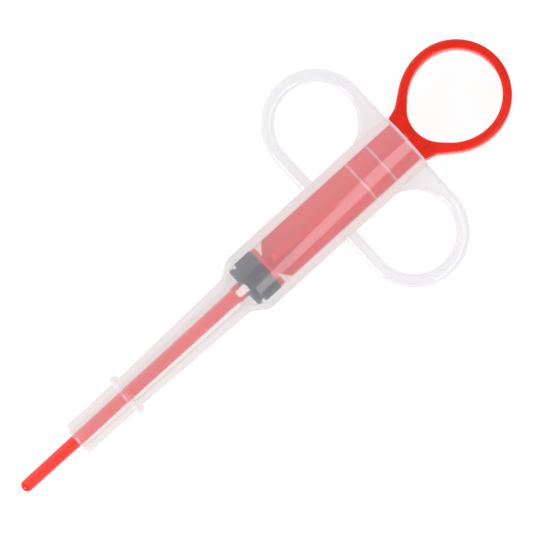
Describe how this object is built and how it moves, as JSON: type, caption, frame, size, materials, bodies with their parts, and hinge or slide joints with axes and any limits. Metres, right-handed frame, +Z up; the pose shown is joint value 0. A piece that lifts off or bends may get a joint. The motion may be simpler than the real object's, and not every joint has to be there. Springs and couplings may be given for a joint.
{
  "type": "oral syringe",
  "caption": "Oral dosing syringe: translucent barrel with finger rings, red thumb-ring plunger with a push rod, and a soft grey seal.",
  "frame": {"origin": "on the barrel's axis, at the front of the bead where the nozzle's straight spigot ends", "axes": "+X along the barrel from the nozzle towards the thumb ring, +Y across the finger rings, +Z up, square to the plane of the finger rings, with the syringe lying flat"},
  "size_m": [0.1539, 0.0616, 0.0158],
  "materials": {
    "natural_plastic": "translucent natural polypropylene, satin gloss",
    "grey_rubber": "smooth matt rubber",
    "red_plastic": "glossy moulded plastic"
  },
  "bodies": {
    "barrel": {"barrel": "natural_plastic"},
    "seal": {"seal": "grey_rubber"},
    "plunger": {"plunger": "red_plastic"}
  },
  "joints": [
    {"name": "plunger_slide", "type": "slide", "parent": "barrel", "child": "seal", "axis": [1, 0, 0], "range_m": [0, 0.03]},
    {"name": "plunger_turn", "type": "hinge", "parent": "seal", "child": "plunger", "pos_m": [0.0425, 0, 0], "axis": [1, 0, 0], "continuous": true}
  ]
}
